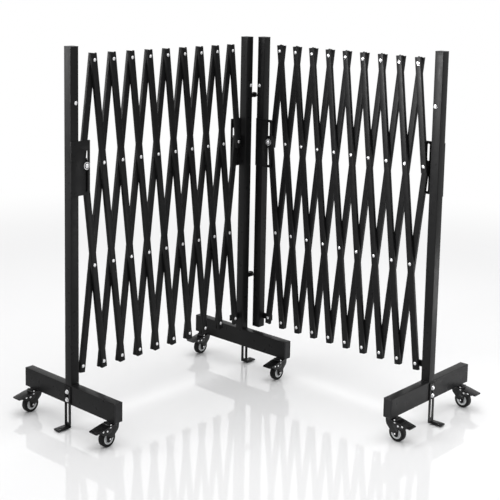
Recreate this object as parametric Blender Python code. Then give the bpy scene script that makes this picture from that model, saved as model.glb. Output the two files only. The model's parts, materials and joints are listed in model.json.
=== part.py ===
"""Expandable safety barrier: two hinged lazy-tongs panels on three braked caster bases."""

import math

import bmesh
import bpy
from mathutils import Matrix, Vector

# Small round pieces have few sides, and running parts keep a small gap.
RUNNING_GAP = 0.0003
ROUND_SIDES = 8
RIVET_SIDES = 6
RACE_SIDES = 12
WHEEL_SIDES = 16
CUT_MARGIN = 0.002

# Square posts with closed tops.
POST_SIDE = 0.040
POST_WALL = 0.002
POST_TOP = 1.550
HINGED_POST_BOTTOM = 0.190
CAP_THICKNESS = 0.003
POST_BOLT_BELOW_TOP = 0.222
POST_BOLT_RADIUS = 0.008
POST_BOLT_THICKNESS = 0.005
LEFT_END_BOLT_OFFSET = 0.0065
RIGHT_END_BOLT_OFFSET = 0.008
CENTRE_LEFT_BOLT_OFFSET = -0.0105
CENTRE_RIGHT_BOLT_OFFSET = -0.006

# Transverse base beams.
BEAM_LENGTH = 0.570
BEAM_HEIGHT = 0.080
BEAM_WIDTH = 0.040
BEAM_WALL = 0.0025
BEAM_BOTTOM = 0.100
DRAIN_RADIUS = 0.005

# Lattice of channel bars: front bars lean one way, rear bars the other way.
PIN_SPACING = 0.420
ROW_COUNT = 4
FULL_PITCHES = 9
BAR_WIDTH = 0.028
BAR_DEPTH = 0.013
BAR_WALL = 0.0012
BAR_END = 0.027
LAYER_GAP = 0.0008
BOTTOM_PIN_HEIGHT = 0.240
PIN_OFFSET = 0.058
LEFT_BAR_ANGLE = math.radians(6.82)
RIGHT_BAR_ANGLE = math.radians(6.31)
RIVET_RADIUS = 0.004
RIVET_HEAD_RADIUS = 0.007
RIVET_HEAD_THICKNESS = 0.003

# Slotted guide plate at each post, with the bolt that slides in it.
PLATE_THICKNESS = 0.0035
PLATE_INSET = 0.0005
PLATE_REACH = 0.0755
PLATE_ABOVE = 0.103
PLATE_BELOW = 0.117
SLOT_WIDTH = 0.011
LEFT_SLOT_ABOVE = 0.062
RIGHT_SLOT_ABOVE = 0.092
SLOT_BELOW = 0.106
SLIDE_NECK_RADIUS = 0.0045
SLIDE_HEAD_RADIUS = 0.0155
SLIDE_HEAD_THICKNESS = 0.008

# Bottom lug that pins the lattice to the post: behind the rear bar, or in the place of the rear bars.
LUG_HEIGHT = 0.026
LUG_THICKNESS = 0.008
BACK_LUG_THICKNESS = 0.006
LUG_END = 0.013

# Centre hinges.
HINGE_OFFSET = 0.055
LOWER_HINGE_HEIGHT = 0.431
UPPER_HINGE_BELOW_TOP = 0.269
HINGE_HALF_WIDTH = 0.012
HINGE_PLATE = 0.006
HINGE_PIN_RADIUS = 0.005
HINGE_HEAD_RADIUS = 0.008
HINGE_HEAD_THICKNESS = 0.003

# Sliding anchor brackets.
BRACKET_WIDTH = 0.036
BRACKET_THICKNESS = 0.004
BRACKET_BOTTOM = 0.005
BRACKET_TOP = 0.176
BRACKET_FOOT = 0.062
BRACKET_SLOT_WIDTH = 0.012
BRACKET_SLOT_BOTTOM = 0.022
BRACKET_SLOT_TOP = 0.165
ANCHOR_HOLE_RADIUS = 0.006
ANCHOR_HOLE_REACH = 0.042
BRACKET_BOLT_HEIGHTS = (0.120, 0.153)
BRACKET_BOLT_RADIUS = 0.004
BRACKET_HEAD_RADIUS = 0.0095
BRACKET_HEAD_THICKNESS = 0.006

# Swivel casters with brake pedals.
CASTER_INSET = 0.040
CASTER_TRAIL = 0.026
WHEEL_RADIUS = 0.035
WHEEL_WIDTH = 0.025
WHEEL_EDGE = 0.004
HUB_WIDTH = 0.027
HUB_RADIUS = 0.014
AXLE_RADIUS = 0.005
AXLE_HEAD_RADIUS = 0.008
AXLE_HEAD_THICKNESS = 0.004
FORK_GAP = 0.029
FORK_WALL = 0.003
FORK_TOP = 0.093
CROWN_BOTTOM = 0.081
CROWN_FRONT = -0.028
CROWN_BACK = 0.0235
CHEEK_OUTLINE = (
    (CROWN_BACK, FORK_TOP),
    (CROWN_FRONT, FORK_TOP),
    (-0.041, 0.070),
    (-0.039, 0.034),
    (-0.035, 0.024),
    (-0.028, 0.021),
    (-0.021, 0.024),
    (-0.018, 0.034),
    (-0.005, 0.036),
    (0.004, 0.049),
    (0.017, 0.062),
)
RACE_RADIUS = 0.023
STEM_RADIUS = 0.006
STEM_NUT_RADIUS = 0.010
STEM_NUT_THICKNESS = 0.006
PEDAL_ROOT = -0.006
PEDAL_ROOT_HEIGHT = 0.092
PEDAL_REACH = 0.098
PEDAL_TIP_HEIGHT = 0.075
PEDAL_HALF_WIDTH = 0.025
PEDAL_THICKNESS = 0.004
PEDAL_FLANGE = 0.013

# Sizes that follow from the ones above.
HALF_POST = POST_SIDE / 2
HALF_LATTICE = BAR_DEPTH + LAYER_GAP / 2
REAR_HEAD_START = LAYER_GAP / 2 + BAR_WALL + RUNNING_GAP
PLATE_FRONT = HALF_POST - PLATE_INSET + PLATE_THICKNESS
POST_BOLT_HEIGHT = POST_TOP - POST_BOLT_BELOW_TOP
HINGE_HEIGHTS = (LOWER_HINGE_HEIGHT, POST_TOP - UPPER_HINGE_BELOW_TOP)
BEAM_TOP = BEAM_BOTTOM + BEAM_HEIGHT
CASTER_OFFSET = BEAM_LENGTH / 2 - CASTER_INSET
LAST_ROW = ROW_COUNT - 1


def lattice_pitch(angle):
    """Sideways distance between neighbouring rivets of a row."""
    return 2 * PIN_SPACING * math.sin(angle)


def row_height(row, angle):
    """Height of a rivet row, counted from the top row."""
    return BOTTOM_PIN_HEIGHT + (LAST_ROW - row) * PIN_SPACING * math.cos(angle)


def panel_width(angle):
    """Distance between the centres of a panel's two posts."""
    return 2 * PIN_OFFSET + FULL_PITCHES * lattice_pitch(angle)


def column_place(column, angle):
    """Distance of a rivet column from the centre of the panel's first post."""
    return PIN_OFFSET + (column + 0.5) * lattice_pitch(angle)


def clear_radius(radius, gap=RUNNING_GAP, sides=ROUND_SIDES):
    """Corner radius of a many-sided hole that clears a round piece by the gap."""
    return (radius + gap) / math.cos(math.pi / sides)


def prism(points, start, end, axis):
    """Closed solid from a flat outline that is pushed along an axis."""
    orders = {"X": (1, 2, 0), "Y": (0, 2, 1), "Z": (0, 1, 2)}
    first, second, along = orders[axis]
    bm = bmesh.new()
    rings = []
    for level in (start, end):
        ring = []
        for point in points:
            place = [0.0, 0.0, 0.0]
            place[first] = point[0]
            place[second] = point[1]
            place[along] = level
            ring.append(bm.verts.new(place))
        rings.append(ring)
    bm.faces.new(rings[0])
    bm.faces.new(list(reversed(rings[1])))
    count = len(points)
    for index in range(count):
        after = (index + 1) % count
        bm.faces.new((rings[0][index], rings[1][index], rings[1][after], rings[0][after]))
    bmesh.ops.recalc_face_normals(bm, faces=bm.faces)
    return bm


def box(low, high):
    """Closed box between two corners."""
    outline = ((low[0], low[1]), (high[0], low[1]), (high[0], high[1]), (low[0], high[1]))
    return prism(outline, low[2], high[2], "Z")


def spindle(profile, axis, centre, sides=ROUND_SIDES):
    """Closed turned solid: pairs of place along the axis and radius, around a centre."""
    bm = bmesh.new()
    rings = []
    for place, radius in profile:
        ring = []
        for index in range(sides):
            turn = 2 * math.pi * (index + 0.5) / sides
            across = radius * math.cos(turn)
            up = radius * math.sin(turn)
            offsets = {"X": (place, across, up), "Y": (across, place, up), "Z": (across, up, place)}
            ring.append(bm.verts.new(Vector(offsets[axis]) + Vector(centre)))
        rings.append(ring)
    bm.faces.new(rings[0])
    bm.faces.new(list(reversed(rings[-1])))
    for lower, upper in zip(rings, rings[1:]):
        for index in range(sides):
            after = (index + 1) % sides
            bm.faces.new((lower[index], upper[index], upper[after], lower[after]))
    bmesh.ops.recalc_face_normals(bm, faces=bm.faces)
    return bm


def rounded_tab(start, tip, half_width, sides):
    """Outline of a tab from a straight end to a round tip, both along the first axis."""
    direction = 1 if tip > start else -1
    centre = tip - direction * half_width
    points = [(start, -half_width)]
    for index in range(sides + 1):
        turn = -math.pi / 2 + math.pi * index / sides
        across = centre + direction * half_width * math.cos(turn)
        points.append((across, half_width * math.sin(turn)))
    points.append((start, half_width))
    return points


def slot_outline(across, half_width, bottom, top, sides=ROUND_SIDES):
    """Outline of an upright slot with round ends."""
    points = []
    for index in range(sides + 1):
        turn = math.pi * index / sides
        points.append((across + half_width * math.cos(turn), top - half_width + half_width * math.sin(turn)))
    for index in range(sides + 1):
        turn = math.pi + math.pi * index / sides
        points.append((across + half_width * math.cos(turn), bottom + half_width + half_width * math.sin(turn)))
    return points


def mesh_object(name, bm):
    """Object with the given shape at the world origin."""
    mesh = bpy.data.meshes.new(name)
    bm.to_mesh(mesh)
    bm.free()
    piece = bpy.data.objects.new(name, mesh)
    bpy.context.scene.collection.objects.link(piece)
    return piece


def together(shapes):
    """One shape made of several shapes that don't touch."""
    whole = bmesh.new()
    for shape in shapes:
        mesh = bpy.data.meshes.new("one_shape")
        shape.to_mesh(mesh)
        shape.free()
        whole.from_mesh(mesh)
        bpy.data.meshes.remove(mesh)
    return whole


def combine(piece, shapes, operation):
    """Join shapes to a piece or cut them from it, one after the other."""
    for shape in shapes:
        tool = mesh_object("tool_shape", shape)
        tool.hide_render = True
        tool.display_type = "WIRE"
        modifier = piece.modifiers.new("combine", "BOOLEAN")
        modifier.operation = operation
        modifier.solver = "EXACT"
        modifier.object = tool
        graph = bpy.context.evaluated_depsgraph_get()
        result = bpy.data.meshes.new_from_object(piece.evaluated_get(graph))
        piece.modifiers.clear()
        old_mesh = piece.data
        piece.data = result
        bpy.data.meshes.remove(old_mesh)
        tool_mesh = tool.data
        bpy.data.objects.remove(tool)
        bpy.data.meshes.remove(tool_mesh)


def settle(piece, name, origin, placement):
    """Name a piece, put its origin on its joint and place it in the assembly."""
    piece.name = name
    piece.data.name = name
    piece.data.transform(Matrix.Translation(-Vector(origin)))
    piece.matrix_world = placement @ Matrix.Translation(Vector(origin))


def rivet(height, rear_start=REAR_HEAD_START):
    """Rivet through both bar layers; its rear head sits inside the rear bar's channel."""
    profile = (
        (-HALF_LATTICE - RIVET_HEAD_THICKNESS, RIVET_HEAD_RADIUS),
        (-HALF_LATTICE + BAR_WALL / 2, RIVET_HEAD_RADIUS),
        (-HALF_LATTICE + BAR_WALL / 2, RIVET_RADIUS),
        (rear_start, RIVET_RADIUS),
        (rear_start, RIVET_HEAD_RADIUS),
        (rear_start + RIVET_HEAD_THICKNESS, RIVET_HEAD_RADIUS),
    )
    return spindle(profile, "Y", (0, 0, height), RIVET_SIDES)


def lug_rivet(height):
    """Rivet through a front bar and the post's lug, with its rear head behind the lug."""
    return rivet(height, HALF_LATTICE + RUNNING_GAP)


def slide_bolt_front(height):
    """Bolt of a bar end that slides in the plate in front of the lattice."""
    profile = (
        (-PLATE_FRONT - RUNNING_GAP - SLIDE_HEAD_THICKNESS, SLIDE_HEAD_RADIUS),
        (-PLATE_FRONT - RUNNING_GAP, SLIDE_HEAD_RADIUS),
        (-PLATE_FRONT - RUNNING_GAP, SLIDE_NECK_RADIUS),
        (-HALF_LATTICE + BAR_WALL / 2, SLIDE_NECK_RADIUS),
        (-HALF_LATTICE + BAR_WALL / 2, RIVET_RADIUS),
        (REAR_HEAD_START, RIVET_RADIUS),
        (REAR_HEAD_START, RIVET_HEAD_RADIUS),
        (REAR_HEAD_START + RIVET_HEAD_THICKNESS, RIVET_HEAD_RADIUS),
    )
    return spindle(profile, "Y", (0, 0, height))


def slide_bolt_rear(height):
    """Bolt of a bar end that slides in the plate behind the lattice."""
    profile = (
        (-HALF_LATTICE - RIVET_HEAD_THICKNESS, RIVET_HEAD_RADIUS),
        (-HALF_LATTICE + BAR_WALL / 2, RIVET_HEAD_RADIUS),
        (-HALF_LATTICE + BAR_WALL / 2, RIVET_RADIUS),
        (REAR_HEAD_START, RIVET_RADIUS),
        (REAR_HEAD_START, SLIDE_NECK_RADIUS),
        (PLATE_FRONT + RUNNING_GAP, SLIDE_NECK_RADIUS),
        (PLATE_FRONT + RUNNING_GAP, SLIDE_HEAD_RADIUS),
        (PLATE_FRONT + RUNNING_GAP + SLIDE_HEAD_THICKNESS, SLIDE_HEAD_RADIUS),
    )
    return spindle(profile, "Y", (0, 0, height))


def channel(pin_count, web_front, flange_edge):
    """Channel bar with its first pin at the origin and its web in front of its open side."""
    half_width = BAR_WIDTH / 2
    inner = half_width - BAR_WALL
    web_back = web_front + BAR_WALL
    outline = (
        (-half_width, web_front),
        (half_width, web_front),
        (half_width, flange_edge),
        (inner, flange_edge),
        (inner, web_back),
        (-inner, web_back),
        (-inner, flange_edge),
        (-half_width, flange_edge),
    )
    bottom = -(pin_count - 1) * PIN_SPACING - BAR_END
    return prism(outline, bottom, BAR_END, "Z")


def front_bar(pins):
    """Front bar with its rivets; pins are listed from the top."""
    piece = mesh_object("front_bar", channel(len(pins), -HALF_LATTICE, -LAYER_GAP / 2))
    shapes = {
        "rivet": rivet,
        "lug_rivet": lug_rivet,
        "front_bolt": slide_bolt_front,
        "rear_bolt": slide_bolt_rear,
    }
    rivets = [shapes[kind](-index * PIN_SPACING) for index, kind in enumerate(pins)]
    combine(piece, [together(rivets)], "UNION")
    return piece


def rear_bar(pin_count):
    """Rear bar with a round hole for each rivet."""
    piece = mesh_object("rear_bar", channel(pin_count, LAYER_GAP / 2, HALF_LATTICE))
    hole = clear_radius(RIVET_RADIUS, RUNNING_GAP, RIVET_SIDES)
    cut_start = LAYER_GAP / 2 - CUT_MARGIN
    cut_end = LAYER_GAP / 2 + BAR_WALL + CUT_MARGIN
    for index in range(pin_count):
        cutter = spindle(((cut_start, hole), (cut_end, hole)), "Y", (0, 0, -index * PIN_SPACING), RIVET_SIDES)
        combine(piece, [cutter], "DIFFERENCE")
    return piece


def front_rows(number):
    """Rows that a front bar's pins are in."""
    if number == 1:
        return (1, 2, 3)
    if number == FULL_PITCHES + 1:
        return (0, 1)
    return (0, 1, 2, 3)


def rear_rows(number):
    """Rows that a rear bar's pins are in."""
    if number == 1:
        return (0, 1)
    if number == FULL_PITCHES + 1:
        return (1, 2, 3)
    return (0, 1, 2, 3)


def front_column(number, row):
    """Column of a front bar's pin in a row."""
    return number - 2 + row / 2


def rear_column(number, row):
    """Column of a rear bar's pin in a row."""
    return number - 1 - row / 2


# Row of the pin that each bar turns on. Left panel bars hang from the centre, right panel bars too.
LEFT_FRONT_PIN_ROWS = {1: 2, 2: 1, 3: 3, 4: 2, 5: 1, 6: 3, 7: 2, 8: 1, 9: 3, 10: 0}
LEFT_REAR_PIN_ROWS = {1: 0, 2: 0, 3: 1, 4: 2, 5: 0, 6: 1, 7: 2, 8: 0, 9: 1, 10: 2}
RIGHT_FRONT_PIN_ROWS = {1: 2, 2: 1, 3: 0, 4: 2, 5: 1, 6: 0, 7: 2, 8: 1, 9: 0, 10: 0}
RIGHT_REAR_PIN_ROWS = {1: 0, 2: 3, 3: 1, 4: 2, 5: 3, 6: 1, 7: 2, 8: 3, 9: 1, 10: 2}


def build_panel(panel, angle, placement, front_pin_rows, rear_pin_rows):
    """All bars of a panel whose first post stands at the placement's origin."""
    patterns = {
        "front": {
            1: front_bar(("front_bolt", "rivet", "rivet")),
            2: front_bar(("rivet",) * ROW_COUNT),
            9: front_bar(("rivet",) * LAST_ROW + ("lug_rivet",)),
            10: front_bar(("rivet", "rear_bolt")),
        },
        "rear": {1: rear_bar(2), 2: rear_bar(ROW_COUNT), 10: rear_bar(3)},
    }
    rules = {
        "front": (front_rows, front_column, front_pin_rows, -angle),
        "rear": (rear_rows, rear_column, rear_pin_rows, angle),
    }
    for layer, (rows_of, column_of, pin_rows, turn) in rules.items():
        for number in range(1, FULL_PITCHES + 2):
            source = patterns[layer].get(number, patterns[layer][2])
            piece = bpy.data.objects.new("bar", source.data.copy())
            bpy.context.scene.collection.objects.link(piece)
            pin_row = pin_rows[number]
            first_row = rows_of(number)[0]
            origin = (0, 0, -(pin_row - first_row) * PIN_SPACING)
            across = column_place(column_of(number, first_row), angle)
            place = Matrix.Translation((across, 0, row_height(first_row, angle)))
            lean = Matrix.Rotation(turn, 4, "Y")
            settle(piece, f"{panel}_{layer}_bar_{number}", origin, placement @ place @ lean)
    for group in patterns.values():
        for source in group.values():
            mesh = source.data
            bpy.data.objects.remove(source)
            bpy.data.meshes.remove(mesh)


def bolt_head(profile, axis, centre):
    """Round bolt with its shank sunk into a wall."""
    return spindle(profile, axis, centre)


def post(bottom, angle, slot_above, bolt_offset, carries_pin, has_beam, hinge):
    """Post around its own centre, with the lattice on its positive side."""
    piece = mesh_object("post", box((-HALF_POST, -HALF_POST, bottom), (HALF_POST, HALF_POST, POST_TOP)))
    slide_height = row_height(1, angle)
    joins = []
    cuts = []

    plate_low = (-HALF_POST, -PLATE_FRONT, slide_height - PLATE_BELOW)
    plate_high = (PLATE_REACH, -HALF_POST + PLATE_INSET, slide_height + PLATE_ABOVE)
    joins.append(box(plate_low, plate_high))
    slot = slot_outline(PIN_OFFSET, SLOT_WIDTH / 2, slide_height - SLOT_BELOW, slide_height + slot_above)
    cuts.append(prism(slot, -PLATE_FRONT - CUT_MARGIN, -HALF_POST + CUT_MARGIN, "Y"))

    pin_centre = (PIN_OFFSET, 0, BOTTOM_PIN_HEIGHT)
    lug_bottom = BOTTOM_PIN_HEIGHT - LUG_HEIGHT / 2
    lug_top = BOTTOM_PIN_HEIGHT + LUG_HEIGHT / 2
    if carries_pin:
        lug_front = HALF_LATTICE + RUNNING_GAP
        lug_back = lug_front + BACK_LUG_THICKNESS
        head_back = LAYER_GAP / 2 - RUNNING_GAP
        profile = (
            (head_back - RIVET_HEAD_THICKNESS, RIVET_HEAD_RADIUS),
            (head_back, RIVET_HEAD_RADIUS),
            (head_back, RIVET_RADIUS),
            ((lug_front + lug_back) / 2, RIVET_RADIUS),
        )
        joins.append(spindle(profile, "Y", pin_centre))
    else:
        lug_front = -HALF_LATTICE
        lug_back = lug_front + LUG_THICKNESS
        hole = clear_radius(RIVET_RADIUS)
        profile = ((lug_front - CUT_MARGIN, hole), (lug_back + CUT_MARGIN, hole))
        cuts.append(spindle(profile, "Y", pin_centre))
    lug_low = (HALF_POST - POST_WALL / 2, lug_front, lug_bottom)
    lug_high = (PIN_OFFSET + LUG_END, lug_back, lug_top)
    joins.append(box(lug_low, lug_high))

    bolt_side = -1 if carries_pin else 1
    profile = (
        (bolt_side * (HALF_POST - POST_WALL / 2), POST_BOLT_RADIUS),
        (bolt_side * (HALF_POST + POST_BOLT_THICKNESS), POST_BOLT_RADIUS),
    )
    joins.append(bolt_head(profile, "Y", (bolt_offset, 0, POST_BOLT_HEIGHT)))

    hollow = HALF_POST - POST_WALL
    hollow_bottom = bottom if has_beam else bottom - CUT_MARGIN
    cuts.append(box((-hollow, -hollow, hollow_bottom), (hollow, hollow, POST_TOP - CAP_THICKNESS)))

    if has_beam:
        half_length = BEAM_LENGTH / 2
        half_width = BEAM_WIDTH / 2
        beam = box((-half_width, -half_length, BEAM_BOTTOM), (half_width, half_length, BEAM_TOP))
        beam_piece = mesh_object("beam", beam)
        inner_low = (-half_width + BEAM_WALL, -half_length + CAP_THICKNESS, BEAM_BOTTOM + BEAM_WALL)
        inner_high = (half_width - BEAM_WALL, half_length - CAP_THICKNESS, BEAM_TOP - BEAM_WALL)
        beam_cuts = [box(inner_low, inner_high)]
        stem_hole = clear_radius(STEM_RADIUS)
        for side in (-1, 1):
            profile = ((BEAM_BOTTOM - CUT_MARGIN, stem_hole), (BEAM_BOTTOM + BEAM_WALL + CUT_MARGIN, stem_hole))
            beam_cuts.append(spindle(profile, "Z", (0, side * CASTER_OFFSET, 0)))
        combine(beam_piece, beam_cuts, "DIFFERENCE")
        for height in BRACKET_BOLT_HEIGHTS:
            head_start = half_width + RUNNING_GAP + BRACKET_THICKNESS + RUNNING_GAP
            profile = (
                (-half_width + BEAM_WALL / 2, BRACKET_BOLT_RADIUS),
                (-head_start, BRACKET_BOLT_RADIUS),
                (-head_start, BRACKET_HEAD_RADIUS),
                (-head_start - BRACKET_HEAD_THICKNESS, BRACKET_HEAD_RADIUS),
            )
            combine(beam_piece, [spindle(profile, "X", (0, 0, height))], "UNION")
    if hinge:
        for height in HINGE_HEIGHTS:
            joins.extend(hinge_shapes(hinge, height))
            if hinge == "tongue":
                hole = clear_radius(HINGE_PIN_RADIUS)
                half = HINGE_PLATE / 2 + CUT_MARGIN
                cuts.append(spindle(((-half, hole), (half, hole)), "Z", (-HINGE_OFFSET, 0, height)))
    combine(piece, joins, "UNION")
    combine(piece, cuts, "DIFFERENCE")
    if has_beam:
        shape = bmesh.new()
        shape.from_mesh(beam_piece.data)
        beam_mesh = beam_piece.data
        bpy.data.objects.remove(beam_piece)
        bpy.data.meshes.remove(beam_mesh)
        combine(piece, [shape], "UNION")
        profile = ((BEAM_TOP - BEAM_WALL - CUT_MARGIN, DRAIN_RADIUS), (BEAM_TOP + CUT_MARGIN, DRAIN_RADIUS))
        combine(piece, [spindle(profile, "Z", (0, 0, 0))], "DIFFERENCE")
    return piece


def hinge_shapes(kind, height):
    """Fork plates with their pin, or the tongue between them, on the post's outer side."""
    root = -HALF_POST + POST_WALL / 2
    outline = rounded_tab(root, -HINGE_OFFSET - HINGE_HALF_WIDTH, HINGE_HALF_WIDTH, ROUND_SIDES)
    if kind == "tongue":
        return [prism(outline, height - HINGE_PLATE / 2, height + HINGE_PLATE / 2, "Z")]
    near = HINGE_PLATE / 2 + RUNNING_GAP
    far = near + HINGE_PLATE
    middle = (near + far) / 2
    profile = (
        (-far - HINGE_HEAD_THICKNESS, HINGE_HEAD_RADIUS),
        (-middle, HINGE_HEAD_RADIUS),
        (-middle, HINGE_PIN_RADIUS),
        (middle, HINGE_PIN_RADIUS),
        (middle, HINGE_HEAD_RADIUS),
        (far + HINGE_HEAD_THICKNESS, HINGE_HEAD_RADIUS),
    )
    plates = [prism(outline, height + near, height + far, "Z"), prism(outline, height - far, height - near, "Z")]
    return plates + [spindle(profile, "Z", (-HINGE_OFFSET, 0, height))]


def bracket():
    """Slotted anchor bracket on the outer side of a beam, around the post's centre."""
    near = -BEAM_WIDTH / 2 - RUNNING_GAP
    far = near - BRACKET_THICKNESS
    tip = near - BRACKET_FOOT
    foot_top = BRACKET_BOTTOM + BRACKET_THICKNESS
    outline = (
        (near, BRACKET_BOTTOM),
        (near, BRACKET_TOP),
        (far, BRACKET_TOP),
        (far, foot_top),
        (tip, foot_top),
        (tip, BRACKET_BOTTOM),
    )
    piece = mesh_object("bracket", prism(outline, -BRACKET_WIDTH / 2, BRACKET_WIDTH / 2, "Y"))
    slot = slot_outline(0, BRACKET_SLOT_WIDTH / 2, BRACKET_SLOT_BOTTOM, BRACKET_SLOT_TOP)
    hole = ((BRACKET_BOTTOM - CUT_MARGIN, ANCHOR_HOLE_RADIUS), (foot_top + CUT_MARGIN, ANCHOR_HOLE_RADIUS))
    cuts = [
        prism(slot, far - CUT_MARGIN, near + CUT_MARGIN, "X"),
        spindle(hole, "Z", (near - ANCHOR_HOLE_REACH, 0, 0)),
    ]
    combine(piece, cuts, "DIFFERENCE")
    return piece


def fork():
    """Caster fork around its swivel axis, with its pedal on the negative side."""
    race = (
        (CROWN_BOTTOM, RACE_RADIUS),
        (BEAM_BOTTOM - RUNNING_GAP, RACE_RADIUS),
        (BEAM_BOTTOM - RUNNING_GAP, STEM_RADIUS),
        (BEAM_BOTTOM + BEAM_WALL + RUNNING_GAP, STEM_RADIUS),
        (BEAM_BOTTOM + BEAM_WALL + RUNNING_GAP, STEM_NUT_RADIUS),
        (BEAM_BOTTOM + BEAM_WALL + RUNNING_GAP + STEM_NUT_THICKNESS, STEM_NUT_RADIUS),
    )
    half_gap = FORK_GAP / 2
    half_fork = half_gap + FORK_WALL
    piece = mesh_object("fork", prism(CHEEK_OUTLINE, -half_fork, half_fork, "Y"))
    channel_low = (-PEDAL_REACH, -half_gap, 0)
    channel_high = (PEDAL_REACH, half_gap, CROWN_BOTTOM)
    combine(piece, [box(channel_low, channel_high)], "DIFFERENCE")
    pedal = (
        (PEDAL_ROOT, PEDAL_ROOT_HEIGHT),
        (-PEDAL_REACH, PEDAL_TIP_HEIGHT),
        (-PEDAL_REACH, PEDAL_TIP_HEIGHT - PEDAL_THICKNESS),
        (CROWN_FRONT, CROWN_BOTTOM),
        (PEDAL_ROOT, CROWN_BOTTOM),
    )
    flange = (
        (PEDAL_ROOT, PEDAL_ROOT_HEIGHT - PEDAL_THICKNESS / 2),
        (-PEDAL_REACH, PEDAL_TIP_HEIGHT - PEDAL_THICKNESS / 2),
        (-PEDAL_REACH, PEDAL_TIP_HEIGHT - PEDAL_THICKNESS),
        (CROWN_FRONT, CROWN_BOTTOM - PEDAL_FLANGE),
        (PEDAL_ROOT, CROWN_BOTTOM),
    )
    joins = [prism(pedal, -PEDAL_HALF_WIDTH, PEDAL_HALF_WIDTH, "Y")]
    for side in (-1, 1):
        edge = side * (PEDAL_HALF_WIDTH - FORK_WALL)
        joins.append(prism(flange, edge, side * PEDAL_HALF_WIDTH, "Y"))
    joins.append(spindle(race, "Z", (0, 0, 0), RACE_SIDES))
    outer = half_fork + AXLE_HEAD_THICKNESS
    inner = half_gap + FORK_WALL / 2
    axle = (
        (-outer, AXLE_HEAD_RADIUS),
        (-inner, AXLE_HEAD_RADIUS),
        (-inner, AXLE_RADIUS),
        (inner, AXLE_RADIUS),
        (inner, AXLE_HEAD_RADIUS),
        (outer, AXLE_HEAD_RADIUS),
    )
    joins.append(spindle(axle, "Y", (-CASTER_TRAIL, 0, WHEEL_RADIUS)))
    combine(piece, joins, "UNION")
    return piece


def wheel():
    """Wheel around its own centre, with the axle along the second axis."""
    bore = clear_radius(AXLE_RADIUS, RUNNING_GAP, WHEEL_SIDES)
    half_width = WHEEL_WIDTH / 2
    half_hub = HUB_WIDTH / 2
    profile = (
        (-half_hub, bore),
        (-half_hub, HUB_RADIUS),
        (-half_width, WHEEL_RADIUS - WHEEL_EDGE),
        (-half_width + WHEEL_EDGE, WHEEL_RADIUS),
        (half_width - WHEEL_EDGE, WHEEL_RADIUS),
        (half_width, WHEEL_RADIUS - WHEEL_EDGE),
        (half_hub, HUB_RADIUS),
        (half_hub, bore),
    )
    bm = bmesh.new()
    rings = []
    for place, radius in profile:
        ring = []
        for index in range(WHEEL_SIDES):
            turn = 2 * math.pi * index / WHEEL_SIDES
            ring.append(bm.verts.new((radius * math.cos(turn), place, radius * math.sin(turn))))
        rings.append(ring)
    for lower, upper in zip(rings, rings[1:] + rings[:1]):
        for index in range(WHEEL_SIDES):
            after = (index + 1) % WHEEL_SIDES
            bm.faces.new((lower[index], upper[index], upper[after], lower[after]))
    bmesh.ops.recalc_face_normals(bm, faces=bm.faces)
    return mesh_object("wheel", bm)


def build_base(name, placement, turn):
    """Bracket and the two casters of a base; the pedals point where the turn says."""
    settle(bracket(), f"{name}_bracket", (-HALF_POST, 0, BRACKET_BOTTOM), placement)
    centre = placement.translation
    along = (placement.to_3x3() @ Vector((0, 1, 0))).normalized()
    nearness = {-1: "near", 1: "far"}
    for side in (-1, 1):
        offset = along * side * CASTER_OFFSET
        spot = "far" if offset.x + offset.y > 0 else "near"
        caster = Matrix.Translation(centre + offset) @ Matrix.Rotation(turn, 4, "Z")
        settle(fork(), f"{name}_{spot}_fork", (0, 0, BEAM_BOTTOM), caster)
        axle = Matrix.Translation((-CASTER_TRAIL, 0, WHEEL_RADIUS))
        settle(wheel(), f"{name}_{spot}_wheel", (0, 0, 0), caster @ axle)


def build_barrier():
    """Whole barrier, with its left end post at the world origin."""
    half_turn = Matrix.Rotation(math.pi, 4, "Z")
    quarter_turn = Matrix.Rotation(-math.pi / 2, 4, "Z")
    left = Matrix.Identity(4)
    left_width = panel_width(LEFT_BAR_ANGLE)
    right_width = panel_width(RIGHT_BAR_ANGLE)
    centre_left = Matrix.Translation((left_width, 0, 0)) @ half_turn
    right = Matrix.Translation((left_width + HINGE_OFFSET, -HINGE_OFFSET, 0)) @ quarter_turn
    right_end = right @ Matrix.Translation((right_width, 0, 0)) @ half_turn
    pin = (PIN_OFFSET, 0, BOTTOM_PIN_HEIGHT)

    piece = post(BEAM_TOP, LEFT_BAR_ANGLE, LEFT_SLOT_ABOVE, LEFT_END_BOLT_OFFSET, True, True, "")
    settle(piece, "left_end_post", pin, left)
    piece = post(BEAM_TOP, LEFT_BAR_ANGLE, LEFT_SLOT_ABOVE, CENTRE_LEFT_BOLT_OFFSET, False, True, "clevis")
    settle(piece, "centre_left_post", (0, 0, 0), centre_left)
    bolt_offset = CENTRE_RIGHT_BOLT_OFFSET
    piece = post(HINGED_POST_BOTTOM, RIGHT_BAR_ANGLE, RIGHT_SLOT_ABOVE, bolt_offset, True, False, "tongue")
    settle(piece, "centre_right_post", (-HINGE_OFFSET, 0, HINGE_HEIGHTS[0]), right)
    piece = post(BEAM_TOP, RIGHT_BAR_ANGLE, RIGHT_SLOT_ABOVE, RIGHT_END_BOLT_OFFSET, False, True, "")
    settle(piece, "right_end_post", pin, right_end)

    build_panel("left", LEFT_BAR_ANGLE, left, LEFT_FRONT_PIN_ROWS, LEFT_REAR_PIN_ROWS)
    build_panel("right", RIGHT_BAR_ANGLE, right, RIGHT_FRONT_PIN_ROWS, RIGHT_REAR_PIN_ROWS)
    build_base("left", left, 0)
    build_base("centre", centre_left, 0)
    build_base("right", right_end, math.pi / 2)


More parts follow.
